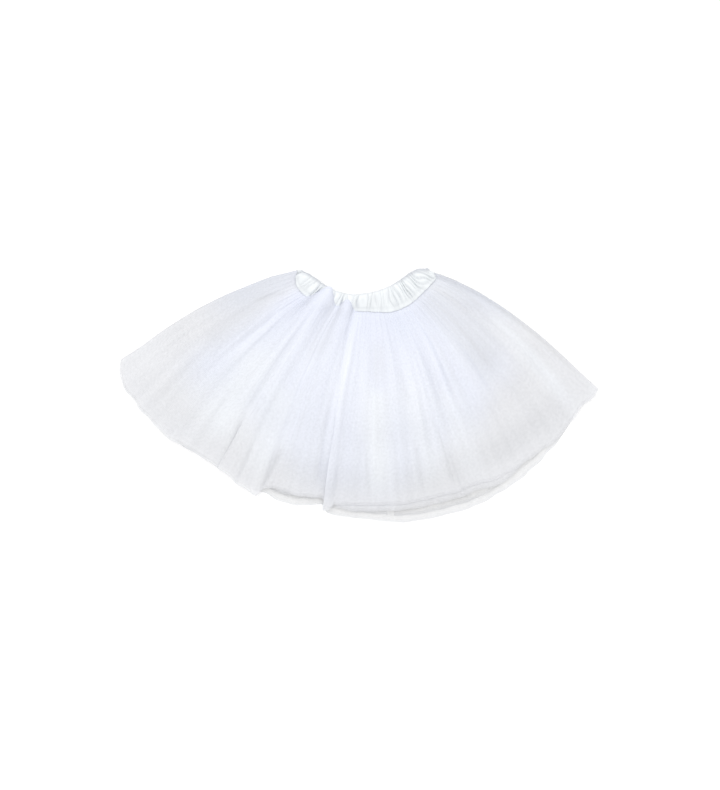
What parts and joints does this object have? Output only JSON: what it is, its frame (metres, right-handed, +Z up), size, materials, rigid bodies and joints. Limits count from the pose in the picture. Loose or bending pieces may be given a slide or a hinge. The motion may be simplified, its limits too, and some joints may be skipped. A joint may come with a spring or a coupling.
{
  "type": "ballet tutu skirt",
  "caption": "Girl's white ballet tutu laid flat on its back: gathered tulle skirts sewn to a shiny gathered elastic waistband.",
  "frame": {"origin": "on the floor under the middle of the garment's bounding box", "axes": "+X across the garment to the right as it is seen, +Y from the hem towards the waistband, +Z up from the floor it lies on"},
  "size_m": [0.6387, 0.3357, 0.0339],
  "materials": {
    "tulle": "soft sheer white net with a slight blue cast, matt",
    "inner_tulle": "the same net, seen through the outer skirt",
    "satin": "shiny white satin, gathered"
  },
  "bodies": {
    "root": {"tulle_outer": "tulle", "tulle_inner": "inner_tulle", "waistband": "satin"}
  },
  "joints": []
}
